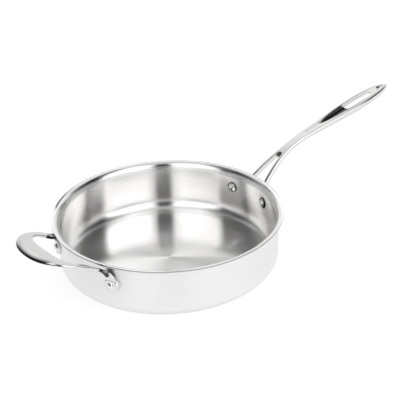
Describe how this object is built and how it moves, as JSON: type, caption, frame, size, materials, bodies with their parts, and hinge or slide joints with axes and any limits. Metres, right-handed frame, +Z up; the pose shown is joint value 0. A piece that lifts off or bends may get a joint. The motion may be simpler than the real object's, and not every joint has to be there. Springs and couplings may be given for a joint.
{
  "type": "saute pan",
  "caption": "Straight-sided clad pan with a flared pouring lip, a forked long handle with a hanging slot, and a looped helper handle.",
  "frame": {"origin": "centre of the underside of the base", "axes": "+Z up through the open top, +X along the long handle, +Y to the left of the long handle seen from above with the handle pointing away"},
  "size_m": [0.576, 0.278, 0.1286],
  "materials": {
    "outer_steel": "satin stainless steel with fine lines around the wall",
    "core_aluminium": "plain aluminium, sealed between the steel plies",
    "lining_steel": "stainless steel turned in fine circles, half polished",
    "handle_steel": "cast stainless steel, polished",
    "rivet_steel": "stainless steel, polished heads"
  },
  "bodies": {
    "root": {"outer_shell": "outer_steel", "aluminium_core": "core_aluminium", "inner_lining": "lining_steel", "long_handle": "handle_steel", "helper_handle": "handle_steel", "long_handle_rivet_left": "rivet_steel", "long_handle_rivet_right": "rivet_steel", "helper_rivet_left": "rivet_steel", "helper_rivet_right": "rivet_steel"}
  },
  "joints": []
}
